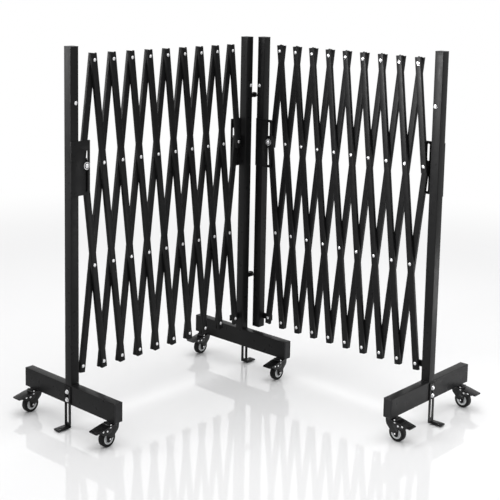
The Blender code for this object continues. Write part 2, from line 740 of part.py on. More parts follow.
def centre_on_floor():
    """Move everything so that the middle of the whole is over the world origin."""
    bpy.context.view_layer.update()
    corners = []
    pieces = list(bpy.context.scene.objects)
    for piece in pieces:
        for vertex in piece.data.vertices:
            corners.append(piece.matrix_world @ vertex.co)
    lows = [min(corner[axis] for corner in corners) for axis in range(3)]
    highs = [max(corner[axis] for corner in corners) for axis in range(3)]
    shift = Vector((-(lows[0] + highs[0]) / 2, -(lows[1] + highs[1]) / 2, -lows[2]))
    for piece in pieces:
        piece.matrix_world = Matrix.Translation(shift) @ piece.matrix_world
    bpy.context.view_layer.update()


for old in list(bpy.data.objects):
    bpy.data.objects.remove(old)
build_barrier()
centre_on_floor()
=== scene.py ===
"""Looks of the expandable safety barrier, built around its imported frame."""

import json
import math

import bmesh
import bpy
from mathutils import Matrix, Vector


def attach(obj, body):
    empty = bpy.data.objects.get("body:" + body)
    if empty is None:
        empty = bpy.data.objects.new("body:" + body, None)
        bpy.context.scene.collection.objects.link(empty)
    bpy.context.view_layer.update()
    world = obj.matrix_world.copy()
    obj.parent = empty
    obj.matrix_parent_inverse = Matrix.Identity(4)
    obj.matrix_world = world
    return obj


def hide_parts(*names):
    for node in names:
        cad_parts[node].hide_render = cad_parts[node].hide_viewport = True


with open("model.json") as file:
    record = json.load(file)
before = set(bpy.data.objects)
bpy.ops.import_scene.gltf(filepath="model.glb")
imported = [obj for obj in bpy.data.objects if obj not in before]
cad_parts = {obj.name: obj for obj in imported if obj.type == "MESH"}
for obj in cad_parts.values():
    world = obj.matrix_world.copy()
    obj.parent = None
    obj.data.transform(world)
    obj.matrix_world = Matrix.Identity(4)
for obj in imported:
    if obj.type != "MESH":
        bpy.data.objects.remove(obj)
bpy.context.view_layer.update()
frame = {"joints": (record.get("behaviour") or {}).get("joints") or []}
bpy.ops.object.select_all(action="DESELECT")

# Where the barrier stands: the left end post's bottom pin gives the place of its first post,
# and every other piece follows from the panels' widths and the angle of their bars.
pin_places = {}
for joint in frame["joints"]:
    if "pos_m" in joint:
        pin_places[joint["child"]] = Vector(joint["pos_m"])
pin_offset = 0.058
pin_height = 0.240
pin_spacing = 0.420
full_pitches = 9
last_row = 3
left_angle = math.radians(6.82)
right_angle = math.radians(6.31)
hinge_offset = 0.055
first_post = pin_places["left_end_post"] - Vector((pin_offset, 0, pin_height))


def pitch(angle):
    """Sideways distance between neighbouring rivets of a row."""
    return 2 * pin_spacing * math.sin(angle)


def row_height(row, angle):
    """Height of a rivet row, counted from the top row."""
    return pin_height + (last_row - row) * pin_spacing * math.cos(angle)


half_turn = Matrix.Rotation(math.pi, 4, "Z")
left_width = 2 * pin_offset + full_pitches * pitch(left_angle)
right_width = 2 * pin_offset + full_pitches * pitch(right_angle)
left_stand = Matrix.Translation(first_post)
centre_stand = left_stand @ Matrix.Translation((left_width, 0, 0)) @ half_turn
hinged_stand = left_stand @ Matrix.Translation((left_width + hinge_offset, -hinge_offset, 0))
hinged_stand = hinged_stand @ Matrix.Rotation(-math.pi / 2, 4, "Z")
right_stand = hinged_stand @ Matrix.Translation((right_width, 0, 0)) @ half_turn


# Black powder coat on the tubes, bars, plates and brackets: sprayed on dry and baked to a satin
# skin, with a faint orange peel, an uneven sheen and slightly worn, greyer patches.
patch_scale = 9
patch_detail = 6
patch_roughness = 0.62
patch_span = (0.38, 0.82)
smear_scale = 38
smear_detail = 4
smear_span = (0.3, 0.7)
grain_detail = 2
grain_depth = 0.0004


def new_finish(name):
    """New material with its nodes, and the node that gives the place on the piece."""
    material = bpy.data.materials.new(name)
    material.use_nodes = True
    tree = material.node_tree
    return material, tree, tree.nodes.new("ShaderNodeTexCoord")


def noise(tree, place_node, scale, detail):
    """Noise that lies still on the piece."""
    cloud = tree.nodes.new("ShaderNodeTexNoise")
    cloud.inputs["Scale"].default_value = scale
    cloud.inputs["Detail"].default_value = detail
    tree.links.new(place_node.outputs["Object"], cloud.inputs["Vector"])
    return cloud


def vary_tone(tree, cloud, span, low_colour, high_colour):
    """Take the base colour from one tone to another as the noise crosses a span."""
    ramp = tree.nodes.new("ShaderNodeValToRGB")
    ramp.color_ramp.elements[0].position = span[0]
    ramp.color_ramp.elements[0].color = low_colour
    ramp.color_ramp.elements[1].position = span[1]
    ramp.color_ramp.elements[1].color = high_colour
    tree.links.new(cloud.outputs["Fac"], ramp.inputs["Fac"])
    tree.links.new(ramp.outputs["Color"], tree.nodes["Principled BSDF"].inputs["Base Color"])


def vary_sheen(tree, cloud, span, low_roughness, high_roughness):
    """Take the roughness from one value to another as the noise crosses a span."""
    sheen = tree.nodes.new("ShaderNodeMapRange")
    sheen.inputs["From Min"].default_value = span[0]
    sheen.inputs["From Max"].default_value = span[1]
    sheen.inputs["To Min"].default_value = low_roughness
    sheen.inputs["To Max"].default_value = high_roughness
    tree.links.new(cloud.outputs["Fac"], sheen.inputs["Value"])
    tree.links.new(sheen.outputs["Result"], tree.nodes["Principled BSDF"].inputs["Roughness"])


def add_relief(tree, cloud, strength, depth):
    """Raise a fine relief from the noise."""
    relief = tree.nodes.new("ShaderNodeBump")
    relief.inputs["Strength"].default_value = strength
    relief.inputs["Distance"].default_value = depth
    tree.links.new(cloud.outputs["Fac"], relief.inputs["Height"])
    tree.links.new(relief.outputs["Normal"], tree.nodes["Principled BSDF"].inputs["Normal"])


def coated(name, colour, worn_colour, rough_low, rough_high, grain_scale, grain_strength, specular):
    """Painted or moulded finish whose tone, sheen and grain vary with the place on the piece."""
    material, tree, place_node = new_finish(name)
    tree.nodes["Principled BSDF"].inputs["Specular IOR Level"].default_value = specular
    patches = noise(tree, place_node, patch_scale, patch_detail)
    patches.inputs["Roughness"].default_value = patch_roughness
    vary_tone(tree, patches, patch_span, colour, worn_colour)
    smears = noise(tree, place_node, smear_scale, smear_detail)
    vary_sheen(tree, smears, smear_span, rough_low, rough_high)
    grain = noise(tree, place_node, grain_scale, grain_detail)
    add_relief(tree, grain, grain_strength, grain_depth)
    return material


powder_coat = coated(
    "black_powder_coat",
    colour=(0.0085, 0.0085, 0.0088, 1),
    worn_colour=(0.0125, 0.0125, 0.0128, 1),
    rough_low=0.26,
    rough_high=0.38,
    grain_scale=620,
    grain_strength=0.10,
    specular=0.11,
)


# Channel bars of the lattice: strip steel folded to a U, 28 mm wide, with the flat web in front and
# the open side behind in both layers. The ends are sawn square and the rivet holes punched.
bar_width = 0.028
bar_depth = 0.013
bar_wall = 0.0012
bar_fold = 0.0024
bar_end = 0.027
layer_gap = 0.0008
half_lattice = bar_depth + layer_gap / 2
rivet_radius = 0.004
running_gap = 0.0003
hole_sides = 24
facing = 0.9
same_place = 0.00001


def only(piece):
    """Make one piece the selected and active one."""
    bpy.ops.object.select_all(action="DESELECT")
    piece.select_set(True)
    bpy.context.view_layer.objects.active = piece
    return piece


def block(name, low, high):
    """Cube primitive stretched between two corners."""
    middle = [(a + b) / 2 for a, b in zip(low, high)]
    size = [b - a for a, b in zip(low, high)]
    bpy.ops.object.select_all(action="DESELECT")
    bpy.ops.mesh.primitive_cube_add(size=1, location=middle, scale=size)
    piece = bpy.context.object
    bpy.ops.object.transform_apply(location=True, rotation=True, scale=True)
    piece.name = name
    return piece


def rod(name, radius, start, end, axis, centre=(0, 0, 0), sides=32):
    """Cylinder primitive from start to end along an axis through a centre."""
    turns = {"X": (0, math.pi / 2, 0), "Y": (math.pi / 2, 0, 0), "Z": (0, 0, 0)}
    place = Vector(centre)
    place["XYZ".index(axis)] += (start + end) / 2
    bpy.ops.object.select_all(action="DESELECT")
    bpy.ops.mesh.primitive_cylinder_add(
        vertices=sides, radius=radius, depth=abs(end - start), location=place, rotation=turns[axis]
    )
    piece = bpy.context.object
    bpy.ops.object.transform_apply(location=True, rotation=True, scale=True)
    piece.name = name
    return piece


def pick_faces(piece, wanted):
    """Select, in edit mode, the faces whose middle and normal pass a test."""
    bpy.ops.mesh.select_mode(type="FACE")
    bpy.ops.mesh.select_all(action="DESELECT")
    shape = bmesh.from_edit_mesh(piece.data)
    for face in shape.faces:
        face.select = bool(wanted(face.calc_center_median(), face.normal))
    shape.select_flush_mode()
    bmesh.update_edit_mesh(piece.data)


def pick_edges(piece, wanted):
    """Select, in edit mode, the edges whose two ends pass a test."""
    bpy.ops.mesh.select_mode(type="EDGE")
    bpy.ops.mesh.select_all(action="DESELECT")
    shape = bmesh.from_edit_mesh(piece.data)
    for edge in shape.edges:
        edge.select = bool(wanted(edge.verts[0].co, edge.verts[1].co))
    shape.select_flush_mode()
    bmesh.update_edit_mesh(piece.data)


def apply_modifiers(piece):
    """Apply what is on the piece, first to last."""
    only(piece)
    for modifier in list(piece.modifiers):
        bpy.ops.object.modifier_apply(modifier=modifier.name)
    return piece


def combine(piece, tools, operation):
    """Join tools to a piece or cut them out of it, and remove the tools."""
    for tool in tools:
        modifier = piece.modifiers.new("shaped", "BOOLEAN")
        modifier.operation = operation
        modifier.solver = "EXACT"
        modifier.object = tool
        apply_modifiers(piece)
        mesh = tool.data
        bpy.data.objects.remove(tool)
        bpy.data.meshes.remove(mesh)
    return piece


def shade(piece, angle=35):
    """Smooth shading across gentle angles only."""
    only(piece)
    bpy.ops.object.shade_smooth_by_angle(angle=math.radians(angle), keep_sharp_edges=False)
    return piece


def copy_to(source, name, placement):
    """Copy of a modelled piece with its place in its own mesh."""
    mesh = source.data.copy()
    mesh.transform(placement)
    piece = bpy.data.objects.new(name, mesh)
    bpy.context.scene.collection.objects.link(piece)
    mesh.name = name
    return piece


def discard(*sources):
    """Remove the patterns that copies were made from."""
    for source in sources:
        mesh = source.data
        bpy.data.objects.remove(source)
        bpy.data.meshes.remove(mesh)


def finish_with(piece, material):
    """Give a piece one material."""
    piece.data.materials.clear()
    piece.data.materials.append(material)
    return piece


def channel_bar(name, pin_count, web_front, open_edge, punched):
    """Folded channel with its first pin at the origin, its web in front of its open side."""
    bottom = -(pin_count - 1) * pin_spacing - bar_end
    piece = block(name, (-bar_width / 2, web_front, bottom), (bar_width / 2, open_edge, bar_end))
    bpy.ops.object.mode_set(mode="EDIT")
    pick_faces(piece, lambda spot, normal: abs(normal.z) > facing or normal.y > facing)
    bpy.ops.mesh.delete(type="FACE")
    pick_edges(
        piece,
        lambda a, b: max(abs(a.y - web_front), abs(b.y - web_front), abs(a.x - b.x)) < same_place,
    )
    bpy.ops.mesh.bevel(offset=bar_fold, segments=4, affect="EDGES")
    bpy.ops.object.mode_set(mode="OBJECT")
    wall = piece.modifiers.new("wall", "SOLIDIFY")
    wall.thickness = bar_wall
    wall.offset = -1
    wall.use_even_offset = True
    apply_modifiers(piece)
    if punched:
        hole = (rivet_radius + running_gap) / math.cos(math.pi / hole_sides)
        punches = []
        for index in range(pin_count):
            spot = (0, 0, -index * pin_spacing)
            start = web_front - bar_wall
            end = web_front + 2 * bar_wall
            punches.append(rod("punch", hole, start, end, "Y", spot, hole_sides))
        combine(piece, punches, "DIFFERENCE")
    shade(piece)
    return finish_with(piece, powder_coat)


front_patterns = {
    number: channel_bar(f"front_{number}", pin_count, -half_lattice, -layer_gap / 2, False)
    for number, pin_count in ((1, 3), (2, last_row + 1), (10, 2))
}
rear_patterns = {
    number: channel_bar(f"rear_{number}", pin_count, layer_gap / 2, half_lattice, True)
    for number, pin_count in ((1, 2), (2, last_row + 1), (10, 3))
}
panels = {"left": (left_stand, left_angle), "right": (hinged_stand, right_angle)}


def bar_place(panel, layer, number):
    """Placement of a bar whose pattern has its first pin at the origin."""
    stand, angle = panels[panel]
    if layer == "front":
        first_row = 1 if number == 1 else 0
        column = number - 2 + first_row / 2
        lean = -angle
    else:
        first_row = 1 if number == full_pitches + 1 else 0
        column = number - 1 - first_row / 2
        lean = angle
    across = pin_offset + (column + 0.5) * pitch(angle)
    place = Matrix.Translation((across, 0, row_height(first_row, angle)))
    return stand @ place @ Matrix.Rotation(lean, 4, "Y")


for panel in panels:
    for layer, patterns in (("front", front_patterns), ("rear", rear_patterns)):
        for number in range(1, full_pitches + 2):
            node = f"{panel}_{layer}_bar_{number}"
            source = patterns.get(number, patterns[2])
            bar = copy_to(source, f"{node}_channel", bar_place(panel, layer, number))
            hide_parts(node)
            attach(bar, node)
discard(*front_patterns.values(), *rear_patterns.values())


# Rivets at the crossings: zinc-plated steel with a domed head in front and one behind, which sits
# inside the rear bar's channel, and a thin collar where the head was pressed against the bar.
zinc_colour = (0.84, 0.84, 0.85, 1)
zinc_dull_colour = (0.62, 0.62, 0.63, 1)
rivet_head_radius = 0.0072
rivet_head_height = 0.0034
rivet_collar = 0.0007
inside_seat = layer_gap / 2 + bar_wall + running_gap
outside_seat = half_lattice + running_gap
dome_inset = 0.06
dome_steps = 5
dome_flat = 0.6
round_angle = 30
mottle_scale = 260
mottle_detail = 4
mottle_span = (0.35, 0.60)
mottle_sheen_span = (0.35, 0.65)
zinc_rough_low = 0.22
zinc_rough_high = 0.42
scratch_scale = 900
scratch_detail = 3
scratch_strength = 0.08
scratch_depth = 0.0002

zinc, zinc_tree, zinc_place = new_finish("bright_zinc")
zinc_tree.nodes["Principled BSDF"].inputs["Metallic"].default_value = 1
mottle = noise(zinc_tree, zinc_place, mottle_scale, mottle_detail)
vary_tone(zinc_tree, mottle, mottle_span, zinc_dull_colour, zinc_colour)
vary_sheen(zinc_tree, mottle, mottle_sheen_span, zinc_rough_high, zinc_rough_low)
scratches = noise(zinc_tree, zinc_place, scratch_scale, scratch_detail)
add_relief(zinc_tree, scratches, scratch_strength, scratch_depth)


def gather(name, parts):
    """Make one piece of several that are fixed together."""
    bpy.ops.object.select_all(action="DESELECT")
    for part in parts:
        part.select_set(True)
    bpy.context.view_layer.objects.active = parts[0]
    if len(parts) > 1:
        bpy.ops.object.join()
    parts[0].name = name
    return parts[0]


def domed_head(name, radius, height, collar, seat, direction, axis, centre=(0, 0, 0), sides=24):
    """Round head on a seat: a thin collar, then a dome pulled in and rounded over."""
    rim = seat + direction * collar
    top = seat + direction * height
    piece = rod(name, radius, min(seat, rim), max(seat, rim), axis, centre, sides)
    index = "XYZ".index(axis)
    outward = Vector((0, 0, 0))
    outward[index] = direction
    rise = height - collar
    bpy.ops.object.mode_set(mode="EDIT")
    pick_faces(piece, lambda spot, normal: normal.dot(outward) > facing)
    bpy.ops.mesh.inset(thickness=radius * dome_inset)
    here = 0.0
    narrowed = 1.0
    pivot = Vector(centre)
    for step in range(1, dome_steps + 1):
        turn = math.pi / 2 * step / (dome_steps + dome_flat)
        level = rise * math.sin(turn)
        bpy.ops.mesh.extrude_region_move(TRANSFORM_OT_translate={"value": outward * (level - here)})
        here = level
        share = math.cos(turn) / narrowed
        pivot[index] = rim + direction * here
        shrink = [share, share, share]
        shrink[index] = 1
        bpy.ops.transform.resize(value=shrink, center_override=pivot)
        narrowed = math.cos(turn)
    bpy.ops.object.mode_set(mode="OBJECT")
    return piece


def through_rivet(name, height, before, behind):
    """Rivet at a height of the bar, with its two heads seated before and behind."""
    spot = (0, 0, height)
    shank = rod("shank", rivet_radius, before, behind, "Y", spot, hole_sides)
    head = (rivet_head_radius, rivet_head_height, rivet_collar)
    front = domed_head("front_head", *head, before, -1, "Y", spot)
    rear = domed_head("rear_head", *head, behind, 1, "Y", spot)
    return gather(name, [shank, front, rear])


# Bolts that slide in the plates beside the posts: a turned neck through the slot, a big plain
# washer and a low button head with a hexagon socket, all zinc-plated. A thin black ring lies
# between washer and head: painted shade for the dark gap under the head.
slide_neck_radius = 0.0045
washer_radius = 0.0155
washer_thickness = 0.0025
ring_radius = 0.0125
ring_thickness = 0.0008
ring_bore = 0.0050
button_radius = 0.0098
button_height = 0.0047
button_collar_share = 0.3
button_sides = 32
socket_radius = 0.0042
socket_depth_share = 0.55
socket_sides = 6
washer_edge = 0.0005
disc_sides = 48
plate_front = 0.0230


def soften(piece, width, segments=2, angle=40):
    """Round every sharp edge of a piece by a width."""
    modifier = piece.modifiers.new("rounded_edges", "BEVEL")
    modifier.width = width
    modifier.segments = segments
    modifier.limit_method = "ANGLE"
    modifier.angle_limit = math.radians(angle)
    modifier.harden_normals = False
    return apply_modifiers(piece)


def button_bolt(name, radius, height, seat, direction, axis, centre, socket):
    """Low domed bolt head with a hexagon socket."""
    collar = height * button_collar_share
    head = domed_head(name, radius, height, collar, seat, direction, axis, centre, button_sides)
    top = seat + direction * height
    socket_end = top - direction * height * socket_depth_share
    drill = rod("socket", socket, socket_end, top + direction * height, axis, centre, socket_sides)
    return combine(head, [drill], "DIFFERENCE")


def slide_bolt(name, height, direction):
    """Bolt of a bar end with its head and washer outside the slotted plate."""
    spot = (0, 0, height)
    outside = direction * (plate_front + running_gap)
    rest = outside + direction * washer_thickness
    if direction < 0:
        other_seat = inside_seat
        neck_start = -half_lattice
    else:
        other_seat = -half_lattice
        neck_start = inside_seat
    neck_ends = (min(neck_start, outside), max(neck_start, outside))
    neck = rod("neck", slide_neck_radius, *neck_ends, "Y", spot)
    washer_ends = (min(outside, rest), max(outside, rest))
    washer = rod("washer", washer_radius, *washer_ends, "Y", spot, disc_sides)
    soften(washer, washer_edge)
    seat = rest + direction * ring_thickness
    button = button_bolt(
        "button", button_radius, button_height, seat, direction, "Y", spot, socket_radius
    )
    button_neck = rod("button_neck", slide_neck_radius, min(rest, seat), max(rest, seat), "Y", spot)
    shank_ends = (min(other_seat, neck_start), max(other_seat, neck_start))
    shank = rod("shank", rivet_radius, *shank_ends, "Y", spot, hole_sides)
    head = (rivet_head_radius, rivet_head_height, rivet_collar)
    other = domed_head("other_head", *head, other_seat, -direction, "Y", spot)
    return gather(name, [neck, washer, button, button_neck, shank, other])


def painted_shade_ring(height, direction):
    """Flat black ring that lies on the washer of a slide bolt, painted shade for the gap under its
    head.
    """
    rest = direction * (plate_front + running_gap + washer_thickness)
    seat = rest + direction * ring_thickness
    ends = (min(rest, seat), max(rest, seat))
    spot = (0, 0, height)
    disc = rod("painted_shade_ring", ring_radius, *ends, "Y", spot, disc_sides)
    hole = rod("ring_hole", ring_bore, ends[0] - ring_bore, ends[1] + ring_bore, "Y", spot)
    return combine(disc, [hole], "DIFFERENCE")


steps_down = [-index * pin_spacing for index in range(last_row + 1)]


def crossing_rivets(steps):
    """Rivets at steps down a bar, each with its rear head inside the rear bar's channel."""
    return [through_rivet("rivet", step, -half_lattice, inside_seat) for step in steps]


lug_pin = through_rivet("rivet", steps_down[last_row], -half_lattice, outside_seat)
rivet_patterns = {
    1: gather("first_set", [slide_bolt("end_bolt", 0, -1)] + crossing_rivets(steps_down[1:3])),
    2: gather("full_set", crossing_rivets(steps_down)),
    9: gather("lug_set", crossing_rivets(steps_down[:last_row]) + [lug_pin]),
    10: gather(
        "last_set", crossing_rivets(steps_down[:1]) + [slide_bolt("end_bolt", steps_down[1], 1)]
    ),
}
for pattern in rivet_patterns.values():
    shade(pattern, round_angle)
    finish_with(pattern, zinc)
for panel in panels:
    for number in range(1, full_pitches + 2):
        node = f"{panel}_front_bar_{number}"
        source = rivet_patterns.get(number, rivet_patterns[2])
        rivets = copy_to(source, f"{node}_rivets", bar_place(panel, "front", number))
        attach(rivets, node)
discard(*rivet_patterns.values())
# Black ring under each slide bolt's head: painted shade for the dark gap between washer and head.
painted_gap_shade = coated(
    "painted_gap_shade",
    colour=(0.012, 0.012, 0.012, 1),
    worn_colour=(0.020, 0.020, 0.020, 1),
    rough_low=0.40,
    rough_high=0.52,
    grain_scale=300,
    grain_strength=0.10,
    specular=0.25,
)
for number, height, direction in ((1, 0, -1), (full_pitches + 1, steps_down[1], 1)):
    ring = painted_shade_ring(height, direction)
    shade(ring, round_angle)
    finish_with(ring, painted_gap_shade)
    for panel in panels:
        node = f"{panel}_front_bar_{number}"
        piece = copy_to(ring, f"{node}_painted_shade_ring", bar_place(panel, "front", number))
        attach(piece, node)
    discard(ring)


# Square posts: 40 mm cold-rolled steel tube with tight corners. A moulded black cap is pressed
# into each open top, and a pan-head bolt is screwed into each one's face.
post_side = 0.040
post_top = 1.550
post_corner = 0.0022
cap_height = 0.0040
cap_lip = 0.0010
bore_corner = 0.0008
beam_top = 0.180
hinged_post_bottom = 0.190
post_wall = 0.002
post_bolt_height = 1.328
post_bolt_radius = 0.008
post_bolt_rise = 0.005
post_bolt_socket = 0.0036
half_post = post_side / 2
shortest_side = 0.01


def tube(name, low, high, corner, axis):
    """Square tube body with its long edges rounded."""
    piece = block(name, low, high)
    index = "XYZ".index(axis)
    bpy.ops.object.mode_set(mode="EDIT")
    pick_edges(piece, lambda a, b: abs(a[index] - b[index]) > shortest_side)
    bpy.ops.mesh.bevel(offset=corner, segments=5, affect="EDGES")
    bpy.ops.object.mode_set(mode="OBJECT")
    return piece


def set_in_place(pattern, name, placement, material, angle=35):
    """Shade and finish a pattern that is used once, and set it in its place."""
    shade(pattern, angle)
    finish_with(pattern, material)
    piece = copy_to(pattern, name, placement)
    discard(pattern)
    return piece


cap_plastic = coated(
    "cap_plastic",
    colour=(0.010, 0.010, 0.011, 1),
    worn_colour=(0.018, 0.018, 0.019, 1),
    rough_low=0.38,
    rough_high=0.52,
    grain_scale=480,
    grain_strength=0.16,
    specular=0.25,
)
posts = {
    "left_end_post": (left_stand, left_angle, beam_top, 0.0065, -1),
    "centre_left_post": (centre_stand, left_angle, beam_top, -0.0105, 1),
    "centre_right_post": (hinged_stand, right_angle, hinged_post_bottom, -0.006, -1),
    "right_end_post": (right_stand, right_angle, beam_top, 0.008, 1),
}
for node, (stand, angle, bottom, bolt_across, bolt_side) in posts.items():
    low = (-half_post, -half_post, bottom)
    high = (half_post, half_post, post_top - cap_height)
    upright = tube("upright", low, high, post_corner, "Z")
    if bottom > beam_top:
        inner = half_post - post_wall
        bore_low = (-inner, -inner, bottom - post_wall)
        bore_high = (inner, inner, post_top - post_side)
        combine(upright, [tube("bore", bore_low, bore_high, bore_corner, "Z")], "DIFFERENCE")
    piece = set_in_place(upright, f"{node}_tube", stand, powder_coat)
    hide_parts(node)
    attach(piece, node)

    cap_low = (-half_post, -half_post, post_top - cap_height)
    cap = tube("cap", cap_low, (half_post, half_post, post_top), post_corner, "Z")
    soften(cap, cap_lip, 3)
    piece = set_in_place(cap, f"{node}_cap", stand, cap_plastic)
    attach(piece, node)

    spot = (bolt_across, 0, post_bolt_height)
    seat = bolt_side * half_post
    bolt = button_bolt(
        "bolt", post_bolt_radius, post_bolt_rise, seat, bolt_side, "Y", spot, post_bolt_socket
    )
    piece = set_in_place(bolt, f"{node}_bolt", stand, zinc, round_angle)
    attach(piece, node)


# Guide plates: 3.5 mm sheet welded flat against each post, with a long round-ended slot in which
# the end bolt of the lattice climbs as the panel folds. The welds show as thin raised beads.
plate_reach = 0.0755
plate_above = 0.103
plate_below = 0.117
plate_inset = 0.0005
slot_half_width = 0.0055
left_slot_above = 0.062
right_slot_above = 0.092
slot_below = 0.106
slot_cut_front = -0.03
slot_cut_back = -0.01
plate_corner = 0.003
plate_edge = 0.0004
weld_radius = 0.0013
weld_length = 0.040
weld_margin = 0.004
weld_sides = 12
weld_edge_share = 0.6


def slot_punch(name, across, half_width, bottom, top, start, end, axis):
    """Round-ended cutter for an upright slot, running along an axis."""
    straight_low = bottom + half_width
    straight_high = top - half_width
    if axis == "Y":
        low = (across - half_width, start, straight_low)
        high = (across + half_width, end, straight_high)
        ends = [(across, 0, straight_low), (across, 0, straight_high)]
    else:
        low = (start, across - half_width, straight_low)
        high = (end, across + half_width, straight_high)
        ends = [(0, across, straight_low), (0, across, straight_high)]
    body = block(name, low, high)
    return combine(body, [rod("end", half_width, start, end, axis, spot) for spot in ends], "UNION")


for node, (stand, angle, *_) in posts.items():
    middle = row_height(1, angle)
    slot_top = middle + (left_slot_above if angle == left_angle else right_slot_above)
    low = (-half_post, -plate_front, middle - plate_below)
    high = (plate_reach, -half_post + plate_inset, middle + plate_above)
    plate = block("plate", low, high)
    bpy.ops.object.mode_set(mode="EDIT")
    pick_edges(plate, lambda a, b: abs(a.y - b.y) > same_place and a.x > 0)
    bpy.ops.mesh.bevel(offset=plate_corner, segments=4, affect="EDGES")
    bpy.ops.object.mode_set(mode="OBJECT")
    slot_bottom = middle - slot_below
    punch = slot_punch(
        "slot",
        pin_offset,
        slot_half_width,
        slot_bottom,
        slot_top,
        slot_cut_front,
        slot_cut_back,
        "Y",
    )
    combine(plate, [punch], "DIFFERENCE")
    soften(plate, plate_edge)
    beads = []
    for start in (
        low[2] + weld_margin,
        middle - weld_length / 2,
        high[2] - weld_margin - weld_length,
    ):
        spot = (half_post, -half_post, 0)
        bead = rod("bead", weld_radius, start, start + weld_length, "Z", spot, weld_sides)
        soften(bead, weld_radius * weld_edge_share)
        beads.append(bead)
    piece = set_in_place(gather("plate", [plate] + beads), f"{node}_plate", stand, powder_coat)
    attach(piece, node)


# Bottom lugs: short square-cut tabs of flat bar welded to the posts, which carry the lattice at its
# lowest pin. Two stand behind the end of a rear bar and have the rivet pressed in. The other two
# stand behind a front bar, whose own rivet turns in them.
lug_height = 0.026
lug_thickness = 0.008
back_lug_thickness = 0.006
lug_end = 0.013
lug_edge = 0.0006
cut_margin = 0.001
for node, (stand, *_, bolt_side) in posts.items():
    lug_front = half_lattice + running_gap if bolt_side < 0 else -half_lattice
    lug_back = lug_front + (back_lug_thickness if bolt_side < 0 else lug_thickness)
    low = (half_post - cut_margin, lug_front, pin_height - lug_height / 2)
    high = (pin_offset + lug_end, lug_back, pin_height + lug_height / 2)
    tab = block("tab", low, high)
    spot = (pin_offset, 0, pin_height)
    if bolt_side > 0:
        hole = rivet_radius + running_gap
        drill = rod("hole", hole, lug_front - cut_margin, lug_back + cut_margin, "Y", spot)
        combine(tab, [drill], "DIFFERENCE")
    soften(tab, lug_edge)
    piece = set_in_place(tab, f"{node}_lug", stand, powder_coat)
    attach(piece, node)
    if bolt_side < 0:
        pin = through_rivet("pin", pin_height, layer_gap / 2 - running_gap, lug_back)
        pin_stand = stand @ Matrix.Translation((pin_offset, 0, 0))
        piece = set_in_place(pin, f"{node}_lug_rivet", pin_stand, zinc, round_angle)
        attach(piece, node)


# Base beams: 80 x 40 mm rectangular tube across each end, closed by moulded plugs with a slightly
# sunk face. The post stands on top, with a small weld bead along two of its sides.
beam_length = 0.570
beam_bottom = 0.100
beam_corner = 0.0030
plug_thickness = 0.003
plug_edge = 0.0012
plug_rim = 0.004
plug_dish = 0.0006
plug_facing = 0.95
half_beam = beam_length / 2
bases = {"left": "left_end_post", "centre": "centre_left_post", "right": "right_end_post"}
stem_radius = 0.006
stem_hole_low = 0.09
stem_hole_high = 0.11
caster_inset = 0.040
caster_offset = half_beam - caster_inset
beam_wall = 0.0025
foot_weld_radius = 0.0016
foot_weld_reach = 0.0002
for base, node in bases.items():
    stand = posts[node][0]
    low = (-half_post, -half_beam + plug_thickness, beam_bottom)
    high = (half_post, half_beam - plug_thickness, beam_top)
    beam = tube("beam", low, high, beam_corner, "Y")
    inner = half_post - beam_wall
    bore_low = (-inner, -half_beam, beam_bottom + beam_wall)
    bore_high = (inner, half_beam, beam_top - beam_wall)
    cutters = [tube("bore", bore_low, bore_high, bore_corner, "Y")]
    for side in (-1, 1):
        spot = (0, side * caster_offset, 0)
        hole = stem_radius + running_gap
        cutters.append(rod("stem_hole", hole, stem_hole_low, stem_hole_high, "Z", spot))
    combine(beam, cutters, "DIFFERENCE")
    edge = half_post + foot_weld_reach
    beads = []
    for side in (-1, 1):
        spot = (0, side * half_post, beam_top)
        beads.append(rod("bead", foot_weld_radius, -edge, edge, "X", spot, weld_sides))
    piece = set_in_place(gather("beam", [beam] + beads), f"{base}_beam_tube", stand, powder_coat)
    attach(piece, node)
    for side in (-1, 1):
        outer = side * half_beam
        inside = side * (half_beam - plug_thickness)
        low = (-half_post, min(outer, inside), beam_bottom)
        high = (half_post, max(outer, inside), beam_top)
        plug = tube("plug", low, high, beam_corner, "Y")
        soften(plug, plug_edge, 3)
        bpy.ops.object.mode_set(mode="EDIT")
        pick_faces(plug, lambda spot, normal: normal.y * side > plug_facing)
        bpy.ops.mesh.inset(thickness=plug_rim)
        bpy.ops.mesh.extrude_region_move(TRANSFORM_OT_translate={"value": (0, -side * plug_dish, 0)})
        bpy.ops.object.mode_set(mode="OBJECT")
        where = "near" if side < 0 else "far"
        piece = set_in_place(plug, f"{base}_beam_plug_{where}", stand, cap_plastic)
        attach(piece, node)


# Centre hinges: two flame-cut ears on the fixed post with a headed pin through them, and one
# tongue on the swinging post between the ears.
hinge_heights = (0.431, 1.281)
hinge_half_width = 0.012
hinge_plate = 0.006
hinge_pin_radius = 0.005
hinge_head_radius = 0.008
hinge_head_height = 0.003
hinge_head_collar = 0.0012
hinge_edge = 0.0006


def ear(name, bottom, top, bored):
    """Flat ear from the post's outer face to round its tip about the hinge pin."""
    low = (-hinge_offset, -hinge_half_width, bottom)
    high = (-half_post + cut_margin, hinge_half_width, top)
    piece = block(name, low, high)
    spot = (-hinge_offset, 0, 0)
    combine(piece, [rod("tip", hinge_half_width, bottom, top, "Z", spot, disc_sides)], "UNION")
    if bored:
        hole = hinge_pin_radius + running_gap
        drill = rod("hole", hole, bottom - cut_margin, top + cut_margin, "Z", spot)
        combine(piece, [drill], "DIFFERENCE")
    return soften(piece, hinge_edge)


